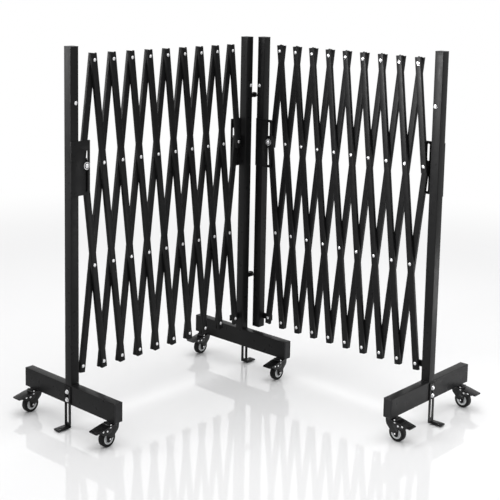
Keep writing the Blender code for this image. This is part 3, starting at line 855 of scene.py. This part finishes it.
for node in ("centre_left_post", "centre_right_post"):
    ears = []
    pins = []
    for height in hinge_heights:
        near = hinge_plate / 2 + running_gap
        far = near + hinge_plate
        if node == "centre_right_post":
            ears.append(ear("tongue", height - hinge_plate / 2, height + hinge_plate / 2, True))
            continue
        ears.append(ear("upper_ear", height + near, height + far, False))
        ears.append(ear("lower_ear", height - far, height - near, False))
        spot = (-hinge_offset, 0, 0)
        pins.append(rod("pin", hinge_pin_radius, height - far, height + far, "Z", spot))
        head = (hinge_head_radius, hinge_head_height, hinge_head_collar)
        for direction in (-1, 1):
            pins.append(domed_head("head", *head, height + direction * far, direction, "Z", spot))
    for label, parts in (("hinge_ears", ears), ("hinge_pins", pins)):
        if not parts:
            continue
        whole = gather(label, parts)
        piece = set_in_place(whole, f"{node}_{label}", posts[node][0], powder_coat, round_angle)
        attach(piece, node)


# Anchor brackets: 36 mm flat bar bent to a foot at the bottom, with a long slot so that it can be
# let down to the ground. Two zinc-plated bolts with washers and nuts clamp it to the beam.
bracket_width = 0.036
bracket_thickness = 0.004
bracket_bottom = 0.005
bracket_top = 0.176
bracket_foot = 0.062
bracket_slot_bottom = 0.022
bracket_slot_top = 0.165
bracket_slot_half_width = 0.006
anchor_hole_radius = 0.006
anchor_hole_reach = 0.042
anchor_hole_top = 0.015
bracket_corner = 0.004
bracket_edge = 0.0005
bracket_cut_margin = 0.002
bend_place = 0.0001
bracket_bolt_heights = (0.120, 0.153)
bracket_bolt_radius = 0.004
bracket_washer_radius = 0.0095
bracket_washer_thickness = 0.0018
bracket_washer_edge = 0.0004
bracket_nut_radius = 0.0072
bracket_nut_out = 0.0066
bracket_nut_edge = 0.0006
bolt_tip = (0.0042, 0.0022, 0.0012)
for base, node in bases.items():
    stand = posts[node][0]
    near = -half_post - running_gap
    far = near - bracket_thickness
    half_width = bracket_width / 2
    leg = block("leg", (far, -half_width, bracket_bottom), (near, half_width, bracket_top))
    bpy.ops.object.mode_set(mode="EDIT")
    pick_edges(leg, lambda a, b: abs(a.x - b.x) > same_place and a.z > bracket_foot)
    bpy.ops.mesh.bevel(offset=bracket_corner, segments=4, affect="EDGES")
    bpy.ops.object.mode_set(mode="OBJECT")
    foot_low = (near - bracket_foot, -half_width, bracket_bottom)
    foot = block("foot", foot_low, (near, half_width, bracket_bottom + bracket_thickness))
    bpy.ops.object.mode_set(mode="EDIT")
    pick_edges(foot, lambda a, b: abs(a.z - b.z) > same_place and a.x < far)
    bpy.ops.mesh.bevel(offset=bracket_corner, segments=4, affect="EDGES")
    bpy.ops.object.mode_set(mode="OBJECT")
    combine(leg, [foot], "UNION")
    bpy.ops.object.mode_set(mode="EDIT")
    pick_edges(
        leg,
        lambda a, b: abs(a.y - b.y) > half_width
        and abs(a.x - near) < bend_place
        and abs(a.z - bracket_bottom) < bend_place,
    )
    bpy.ops.mesh.bevel(offset=bracket_thickness, segments=6, affect="EDGES")
    bpy.ops.object.mode_set(mode="OBJECT")
    punch = slot_punch(
        "slot",
        0,
        bracket_slot_half_width,
        bracket_slot_bottom,
        bracket_slot_top,
        far - bracket_cut_margin,
        near + bracket_cut_margin,
        "X",
    )
    hole_spot = (near - anchor_hole_reach, 0, 0)
    hole = rod("hole", anchor_hole_radius, 0, anchor_hole_top, "Z", hole_spot)
    combine(leg, [punch, hole], "DIFFERENCE")
    soften(leg, bracket_edge)
    piece = set_in_place(leg, f"{base}_bracket_strap", stand, powder_coat)
    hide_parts(f"{base}_bracket")
    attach(piece, f"{base}_bracket")

    seat = far - running_gap
    nut_seat = seat - bracket_washer_thickness
    nut_end = seat - bracket_nut_out
    parts = []
    for height in bracket_bolt_heights:
        spot = (0, 0, height)
        parts.append(rod("shank", bracket_bolt_radius, seat, -half_post, "X", spot, 24))
        washer = rod("washer", bracket_washer_radius, nut_seat, seat, "X", spot, 40)
        parts.append(soften(washer, bracket_washer_edge))
        nut = rod("nut", bracket_nut_radius, nut_end, nut_seat, "X", spot, 6)
        parts.append(soften(nut, bracket_nut_edge))
        parts.append(domed_head("tip", *bolt_tip, nut_end, -1, "X", spot))
    whole = gather("bracket_bolts", parts)
    piece = set_in_place(whole, f"{base}_bracket_bolts", stand, zinc, round_angle)
    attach(piece, node)


# Caster forks: pressed steel under a ball race, painted gloss black together with the axle's nuts.
# The stem is held by a nut inside the beam.
caster_trail = 0.026
wheel_radius = 0.035
fork_gap = 0.029
fork_wall = 0.003
crown_bottom = 0.081
arm_tip = (-0.0285, 0.0315)
arm_radius = 0.0105
round_steps = 8
cheek_edge = 0.0008
wheel_room_reach = 0.12
crown_radius = 0.0215
crown_top = 0.0945
crown_edge = 0.002
cup_radius = 0.023
cup_bottom = 0.0885
cup_top = 0.0935
cup_edge = 0.0012
race_radius = 0.0205
race_bottom = 0.0933
race_top = 0.0997
race_edge = 0.0016
race_sides = 64
axle_nut_radius = 0.0078
axle_nut_height = 0.0038
axle_nut_edge = 0.0007
smooth_angle = 32
cheek_outline = [(0.0235, 0.089), (0.0195, 0.093), (-0.026, 0.093), (-0.030, 0.0905)]
cheek_outline += [(-0.041, 0.070)]
for index in range(round_steps + 1):
    turn = math.pi + math.pi * index / round_steps
    along = arm_tip[0] + arm_radius * math.cos(turn)
    cheek_outline.append((along, arm_tip[1] + arm_radius * math.sin(turn)))
cheek_outline += [(-0.014, 0.0345), (-0.005, 0.036), (-0.0005, 0.0415), (0.004, 0.049)]
cheek_outline += [(0.017, 0.062), (0.0215, 0.072)]
enamel = coated(
    "fork_enamel",
    colour=(0.0030, 0.0030, 0.0032, 1),
    worn_colour=(0.0060, 0.0060, 0.0063, 1),
    rough_low=0.10,
    rough_high=0.22,
    grain_scale=420,
    grain_strength=0.04,
    specular=0.24,
)


def sheet_outline(name, outline, start, end):
    """Flat outline in the upright plane, pushed from start to end across it."""
    bpy.ops.object.select_all(action="DESELECT")
    bpy.ops.mesh.primitive_circle_add(vertices=len(outline), radius=1, fill_type="NGON")
    piece = bpy.context.object
    piece.name = name
    for vertex, (along, up) in zip(piece.data.vertices, outline):
        vertex.co = (along, start, up)
    bpy.ops.object.mode_set(mode="EDIT")
    bpy.ops.mesh.select_all(action="SELECT")
    bpy.ops.mesh.extrude_region_move(TRANSFORM_OT_translate={"value": (0, end - start, 0)})
    bpy.ops.mesh.select_all(action="SELECT")
    bpy.ops.mesh.normals_make_consistent(inside=False)
    bpy.ops.object.mode_set(mode="OBJECT")
    return piece


half_gap = fork_gap / 2
half_fork = half_gap + fork_wall
cheeks = sheet_outline("cheeks", cheek_outline, -half_fork, half_fork)
wheel_room_low = (-wheel_room_reach, -half_gap, 0)
wheel_room = block("wheel_room", wheel_room_low, (wheel_room_reach, half_gap, crown_bottom))
combine(cheeks, [wheel_room], "DIFFERENCE")
soften(cheeks, cheek_edge)
shell_parts = [cheeks]
for name, radius, low, high, edge in (
    ("crown_dome", crown_radius, crown_bottom, crown_top, crown_edge),
    ("race_cup", cup_radius, cup_bottom, cup_top, cup_edge),
    ("race_ring", race_radius, race_bottom, race_top, race_edge),
):
    shell_parts.append(soften(rod(name, radius, low, high, "Z", sides=race_sides), edge, 3))
axle_spot = (-caster_trail, 0, wheel_radius)
for side in (-1, 1):
    seat = side * half_fork
    outer = side * (half_fork + axle_nut_height)
    ends = (min(seat, outer), max(seat, outer))
    axle_nut = rod("axle_nut", axle_nut_radius, *ends, "Y", axle_spot, sides=6)
    shell_parts.append(soften(axle_nut, axle_nut_edge))
fork_shell = shade(gather("fork_shell", shell_parts), smooth_angle)
finish_with(fork_shell, enamel)


# The brake: a wide foot pedal of pressed steel with treads on top, between two side plates that are
# riveted to the fork. Rivets, axle, stem and stem nut are zinc-plated.
pedal_reach = 0.098
pedal_tip_height = 0.075
pedal_half_width = 0.025
pedal_root = -0.006
pedal_root_height = 0.092
pedal_outline = (
    (pedal_root, pedal_root_height),
    (-0.040, 0.0873),
    (-0.078, 0.0793),
    (-pedal_reach, pedal_tip_height),
    (-pedal_reach, pedal_tip_height - 0.0035),
    (-0.076, 0.0752),
    (-0.040, 0.0828),
    (pedal_root, 0.0865),
)
pedal_front = -0.09
pedal_corner = 0.006
pedal_edge = 0.0010
plate_gap = 0.0004
plate_out = 0.0026
side_plate_edge = 0.0006
rib_count = 6
rib_first = -0.086
rib_spacing = 0.0065
rib_slope = 0.20
rib_half_length = 0.018
rib_width = 0.0026
rib_sunk = 0.001
rib_rise = 0.0016
rib_edge = 0.0006
stem_bottom = 0.0990
stem_top = 0.1030
stem_nut_radius = 0.0100
stem_nut_bottom = 0.1028
stem_nut_top = 0.1088
stem_nut_edge = 0.0006
axle_radius = 0.005
axle_tip = (0.0034, 0.0018, 0.0008)
plate_rivet = (0.0042, 0.0022, 0.0006)
plate_rivet_places = ((-0.0600, 0.0735), (-0.0395, 0.0705), (-0.0235, 0.0825), (-0.0215, 0.0905))
top = sheet_outline("top", pedal_outline, -pedal_half_width, pedal_half_width)
bpy.ops.object.mode_set(mode="EDIT")
pick_edges(top, lambda a, b: max(a.x, b.x) < pedal_front and abs(a.y - b.y) < same_place)
bpy.ops.mesh.bevel(offset=pedal_corner, segments=4, affect="EDGES")
bpy.ops.object.mode_set(mode="OBJECT")
soften(top, pedal_edge)
side_outline = (
    (-0.010, 0.0900),
    (-0.040, 0.0853),
    (-0.091, 0.0750),
    (-0.072, 0.0660),
    (-0.060, 0.0570),
    (-0.048, 0.0540),
    (-0.030, 0.0560),
    (-0.016, 0.0620),
)
parts = [top]
for side in (-1, 1):
    inside = side * (half_fork + plate_gap)
    outside = side * (half_fork + plate_out)
    plate = sheet_outline("side_plate", side_outline, min(inside, outside), max(inside, outside))
    parts.append(soften(plate, side_plate_edge))
for index in range(rib_count):
    across = rib_first + index * rib_spacing
    lift = pedal_tip_height + (across + pedal_reach) * rib_slope
    rib_low = (across, -rib_half_length, lift - rib_sunk)
    rib = block("rib", rib_low, (across + rib_width, rib_half_length, lift + rib_rise))
    parts.append(soften(rib, rib_edge))
lever = shade(gather("lever", parts), smooth_angle)
finish_with(lever, enamel)

stem_nut = rod("stem_nut", stem_nut_radius, stem_nut_bottom, stem_nut_top, "Z", sides=6)
bright_parts = [
    rod("stem", stem_radius, stem_bottom, stem_top, "Z"),
    soften(stem_nut, stem_nut_edge),
    rod("axle", axle_radius, -half_fork, half_fork, "Y", axle_spot),
]
for side in (-1, 1):
    outer = side * (half_fork + axle_nut_height)
    bright_parts.append(domed_head("axle_tip", *axle_tip, outer, side, "Y", axle_spot))
    seat = side * (half_fork + plate_out)
    for along, up in plate_rivet_places:
        bright_parts.append(domed_head("plate_rivet", *plate_rivet, seat, side, "Y", (along, 0, up)))
bright = shade(gather("fork_bright", bright_parts), round_angle)
finish_with(bright, zinc)


# Caster wheels: a black rubber tyre with a rounded tread on a light grey moulded hub, which has a
# raised boss, a dished web with six openings and a rim step.
rubber = coated(
    "tyre_rubber",
    colour=(0.0040, 0.0040, 0.0042, 1),
    worn_colour=(0.0100, 0.0100, 0.0104, 1),
    rough_low=0.50,
    rough_high=0.72,
    grain_scale=900,
    grain_strength=0.25,
    specular=0.18,
)
hub_plastic = coated(
    "hub_plastic",
    colour=(0.66, 0.67, 0.68, 1),
    worn_colour=(0.78, 0.79, 0.80, 1),
    rough_low=0.24,
    rough_high=0.40,
    grain_scale=500,
    grain_strength=0.10,
    specular=0.5,
)
wheel_width = 0.025
hub_radius = 0.0235
hub_lip = 0.002
wheel_bore = 0.0054
wheel_sides = 96
tread_round = 0.0045
window_count = 6
window_ring = 0.0152
window_radius = 0.0026
window_reach = 0.02
window_sides = 20


def turned(name, profile, sides):
    """Ring spun from a closed profile of radius and place along the axle."""
    bpy.ops.object.select_all(action="DESELECT")
    bpy.ops.mesh.primitive_circle_add(vertices=len(profile), radius=1, fill_type="NOTHING")
    piece = bpy.context.object
    piece.name = name
    for vertex, (radius, along) in zip(piece.data.vertices, profile):
        vertex.co = (radius, along, 0)
    bpy.ops.object.mode_set(mode="EDIT")
    bpy.ops.mesh.select_all(action="SELECT")
    bpy.ops.mesh.spin(steps=sides, angle=2 * math.pi, center=(0, 0, 0), axis=(0, 1, 0))
    bpy.ops.mesh.select_all(action="SELECT")
    bpy.ops.mesh.remove_doubles(threshold=same_place)
    bpy.ops.mesh.normals_make_consistent(inside=False)
    bpy.ops.object.mode_set(mode="OBJECT")
    return piece


half_wheel = wheel_width / 2
tyre_profile = [(hub_radius, -half_wheel), (hub_radius + hub_lip, -half_wheel)]
for index in range(round_steps + 1):
    turn = -math.pi / 2 + math.pi / 2 * index / round_steps
    radius = wheel_radius - tread_round + tread_round * math.cos(turn)
    tyre_profile.append((radius, -half_wheel + tread_round + tread_round * math.sin(turn)))
for radius, along in list(reversed(tyre_profile)):
    tyre_profile.append((radius, -along))
tyre = shade(turned("tyre", tyre_profile, wheel_sides), round_angle)
finish_with(tyre, rubber)
hub_profile = [
    (wheel_bore, -0.0134),
    (0.0105, -0.0134),
    (0.0115, -0.0126),
    (0.0120, -0.0080),
    (0.0185, -0.0080),
    (0.0196, -0.0118),
    (0.0230, -0.0121),
    (0.0234, -0.0110),
    (0.0234, 0.0110),
    (0.0230, 0.0121),
    (0.0196, 0.0118),
    (0.0185, 0.0080),
    (0.0120, 0.0080),
    (0.0115, 0.0126),
    (0.0105, 0.0134),
    (wheel_bore, 0.0134),
]
hub = turned("hub", hub_profile, wheel_sides)
windows = []
for index in range(window_count):
    turn = 2 * math.pi * index / window_count
    spot = (window_ring * math.cos(turn), 0, window_ring * math.sin(turn))
    windows.append(rod("window", window_radius, -window_reach, window_reach, "Y", spot, window_sides))
combine(hub, windows, "DIFFERENCE")
shade(hub, round_angle)
finish_with(hub, hub_plastic)

for base, node in bases.items():
    stand = posts[node][0]
    turn = math.pi / 2 if base == "right" else 0
    for side in (-1, 1):
        centre = stand @ Vector((0, side * caster_offset, 0))
        offset = centre - stand.translation
        spot_name = "far" if offset.x + offset.y > 0 else "near"
        caster = Matrix.Translation(centre) @ Matrix.Rotation(turn, 4, "Z")
        fork_node = f"{base}_{spot_name}_fork"
        wheel_node = f"{base}_{spot_name}_wheel"
        shell = copy_to(fork_shell, f"{fork_node}_shell", caster)
        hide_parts(fork_node)
        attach(shell, fork_node)
        pedal = copy_to(lever, f"{fork_node}_brake_pedal", caster)
        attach(pedal, fork_node)
        bolts = copy_to(bright, f"{fork_node}_bolts", caster)
        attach(bolts, fork_node)
        axle_place = caster @ Matrix.Translation(axle_spot)
        rim = copy_to(hub, f"{wheel_node}_hub", axle_place)
        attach(rim, wheel_node)
        tread = copy_to(tyre, f"{wheel_node}_tyre", axle_place)
        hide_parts(wheel_node)
        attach(tread, wheel_node)
discard(fork_shell, lever, bright, hub, tyre)


# Pale studio floor with a soft gloss, which keeps the shadows near the barrier and fades to plain
# white further out, under a white surround. Only sight lines and reflections meet that white.
floor_size = 40
floor_colour = (0.88, 0.88, 0.885, 1)
floor_roughness = 0.05
floor_specular = 0.6
fade_start = 2.5
fade_end = 4.8


def seen_directly(tree):
    """One where the ray comes from the lens, a reflection or clear matter, and nought elsewhere."""
    path = tree.nodes.new("ShaderNodeLightPath")
    first = tree.nodes.new("ShaderNodeMath")
    first.operation = "MAXIMUM"
    tree.links.new(path.outputs["Is Camera Ray"], first.inputs[0])
    tree.links.new(path.outputs["Is Glossy Ray"], first.inputs[1])
    second = tree.nodes.new("ShaderNodeMath")
    second.operation = "MAXIMUM"
    tree.links.new(first.outputs["Value"], second.inputs[0])
    tree.links.new(path.outputs["Is Transmission Ray"], second.inputs[1])
    return second.outputs["Value"]


bpy.ops.object.select_all(action="DESELECT")
bpy.ops.mesh.primitive_plane_add(size=floor_size, location=(0, 0, 0))
floor = bpy.context.object
floor.name = "studio_floor"
floor_paint = bpy.data.materials.new("studio_floor_paint")
floor_paint.use_nodes = True
floor_tree = floor_paint.node_tree
floor_shader = floor_tree.nodes["Principled BSDF"]
floor_shader.inputs["Base Color"].default_value = floor_colour
floor_shader.inputs["Roughness"].default_value = floor_roughness
floor_shader.inputs["Specular IOR Level"].default_value = floor_specular
floor_place = floor_tree.nodes.new("ShaderNodeTexCoord")
reach = floor_tree.nodes.new("ShaderNodeVectorMath")
reach.operation = "LENGTH"
floor_tree.links.new(floor_place.outputs["Object"], reach.inputs[0])
fade = floor_tree.nodes.new("ShaderNodeMapRange")
fade.interpolation_type = "SMOOTHSTEP"
fade.inputs["From Min"].default_value = fade_start
fade.inputs["From Max"].default_value = fade_end
floor_tree.links.new(reach.outputs["Value"], fade.inputs["Value"])
share = floor_tree.nodes.new("ShaderNodeMath")
share.operation = "MULTIPLY"
floor_tree.links.new(fade.outputs["Result"], share.inputs[0])
floor_tree.links.new(seen_directly(floor_tree), share.inputs[1])
plain_white = floor_tree.nodes.new("ShaderNodeEmission")
blend = floor_tree.nodes.new("ShaderNodeMixShader")
floor_tree.links.new(share.outputs["Value"], blend.inputs["Fac"])
floor_tree.links.new(floor_shader.outputs["BSDF"], blend.inputs[1])
floor_tree.links.new(plain_white.outputs["Emission"], blend.inputs[2])
floor_tree.links.new(blend.outputs["Shader"], floor_tree.nodes["Material Output"].inputs["Surface"])
finish_with(floor, floor_paint)

white = (1, 1, 1, 1)
dim_strength = 0.55
world = bpy.data.worlds.new("studio_surround")
bpy.context.scene.world = world
world.use_nodes = True
world_tree = world.node_tree
dim_sky = world_tree.nodes["Background"]
dim_sky.inputs["Color"].default_value = white
dim_sky.inputs["Strength"].default_value = dim_strength
white_sky = world_tree.nodes.new("ShaderNodeBackground")
white_sky.inputs["Color"].default_value = white
white_sky.inputs["Strength"].default_value = 1
sky = world_tree.nodes.new("ShaderNodeMixShader")
world_tree.links.new(seen_directly(world_tree), sky.inputs["Fac"])
world_tree.links.new(dim_sky.outputs["Background"], sky.inputs[1])
world_tree.links.new(white_sky.outputs["Background"], sky.inputs[2])
world_tree.links.new(sky.outputs["Shader"], world_tree.nodes["World Output"].inputs["Surface"])


# Studio lamps: four soft boxes, one from either side and one low in front to open up the black
# faces, and a very large one overhead that gives the plain, even light.
left_foot = left_stand.translation
right_foot = right_stand.translation
face_aim = Vector((0, 0, 1.3))
foot_aim = Vector((0, 0, 0.15))


def softbox(name, place, aim, size, power, spread):
    """Large rectangular lamp that looks at a point."""
    lamp = bpy.data.lights.new(name, "AREA")
    lamp.shape = "RECTANGLE"
    lamp.size = size[0]
    lamp.size_y = size[1]
    lamp.energy = power
    lamp.spread = math.radians(spread)
    holder = bpy.data.objects.new(name, lamp)
    holder.location = place
    holder.rotation_euler = (Vector(aim) - Vector(place)).to_track_quat("-Z", "Y").to_euler()
    bpy.context.scene.collection.objects.link(holder)


softbox(
    "left_side_softbox",
    place=left_foot + Vector((-1.00, 1.20, 1.55)),
    aim=left_foot + face_aim,
    size=(0.35, 0.7),
    power=2.2,
    spread=100,
)
softbox(
    "right_side_softbox",
    place=right_foot + Vector((-2.60, 1.36, 1.50)),
    aim=right_foot + face_aim,
    size=(0.4, 0.8),
    power=8,
    spread=60,
)
softbox(
    "front_softbox",
    place=right_foot + Vector((0.75, -0.80, 0.25)),
    aim=right_foot + foot_aim,
    size=(0.9, 0.35),
    power=1.6,
    spread=100,
)
softbox("top_softbox", place=(0, 0, 5.5), aim=(0, 0, 0), size=(5.5, 5.5), power=180, spread=150)


# Camera at the photograph's viewing angle: its place, turn, lens and shift were fitted to the
# posts, beams and rivet rows of the barrier.
camera_place = Vector((-2.76829, -3.44380, 1.89223)) + Vector((first_post.x, first_post.y, 0))
camera_yaw = math.radians(47.904)
camera_pitch = math.radians(8.225)
camera_roll = math.radians(1.145)
look = Vector(
    (
        math.sin(camera_yaw) * math.cos(camera_pitch),
        math.cos(camera_yaw) * math.cos(camera_pitch),
        -math.sin(camera_pitch),
    )
)
level_right = Vector((math.cos(camera_yaw), -math.sin(camera_yaw), 0))
level_up = level_right.cross(look)
camera_right = level_right * math.cos(camera_roll) + level_up * math.sin(camera_roll)
camera_up = level_up * math.cos(camera_roll) - level_right * math.sin(camera_roll)
lens_data = bpy.data.cameras.new("photo_camera")
lens_data.sensor_width = 36
lens_data.sensor_fit = "HORIZONTAL"
lens_data.lens = 81.078
lens_data.shift_y = -0.25360
lens_data.clip_end = 100
camera = bpy.data.objects.new("photo_camera", lens_data)
turn = Matrix((camera_right, camera_up, -look)).transposed()
camera.matrix_world = Matrix.Translation(camera_place) @ turn.to_4x4()
bpy.context.scene.collection.objects.link(camera)
bpy.context.scene.camera = camera
bpy.context.scene.view_settings.view_transform = "Standard"
